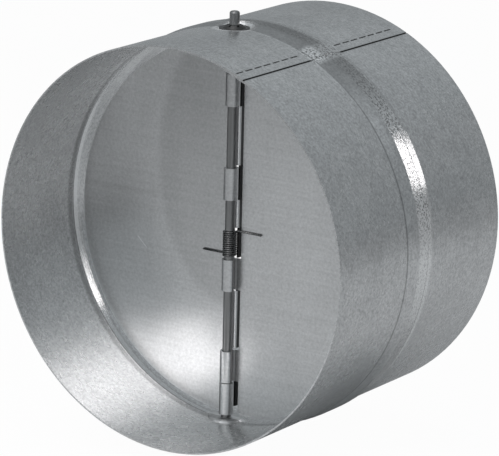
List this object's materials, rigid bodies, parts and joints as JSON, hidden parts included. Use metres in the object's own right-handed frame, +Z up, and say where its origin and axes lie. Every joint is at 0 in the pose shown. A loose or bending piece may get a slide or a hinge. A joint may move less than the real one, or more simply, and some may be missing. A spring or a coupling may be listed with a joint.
{
  "type": "backdraft damper",
  "caption": "Short round duct tube with two sprung half-round blades on an upright rod; air from the rear folds them open, and they close by themselves.",
  "frame": {"origin": "centre of the front (outlet) mouth of the tube", "axes": "+Y along the duct from the outlet mouth to the inlet mouth, against the air flow; +Z up along the hinge rod; +X to the right seen from the outlet"},
  "size_m": [0.161, 0.1134, 0.1716],
  "materials": {
    "galvanised_tube": "galvanised sheet steel, bluish grey with fine spangle",
    "blade_sheet": "mill-finish aluminium sheet, faint rolling lines",
    "rod_steel": "plain drawn steel rod",
    "spring_steel": "dark spring wire",
    "washer_steel": "blackened spring steel"
  },
  "bodies": {
    "duct_tube": {"tube_body": "galvanised_tube", "hinge_rod": "rod_steel", "torsion_spring": "spring_steel", "upper_retaining_washer": "washer_steel", "lower_retaining_washer": "washer_steel"},
    "left_flap": {"left_blade": "blade_sheet"},
    "right_flap": {"right_blade": "blade_sheet"}
  },
  "joints": [
    {"name": "left_blade_hinge", "type": "hinge", "parent": "duct_tube", "child": "left_flap", "pos_m": [-0.0029, 0.0472, 0], "axis": [0, 0, 1], "range_deg": [0, 85], "stiffness_Nm_per_rad": 0.004, "springref_deg": -20.05, "deforming": ["torsion_spring"]},
    {"name": "right_blade_hinge", "type": "hinge", "parent": "duct_tube", "child": "right_flap", "pos_m": [-0.0029, 0.0472, 0], "axis": [0, 0, -1], "range_deg": [0, 85], "stiffness_Nm_per_rad": 0.004, "springref_deg": -20.05, "deforming": ["torsion_spring"]}
  ]
}
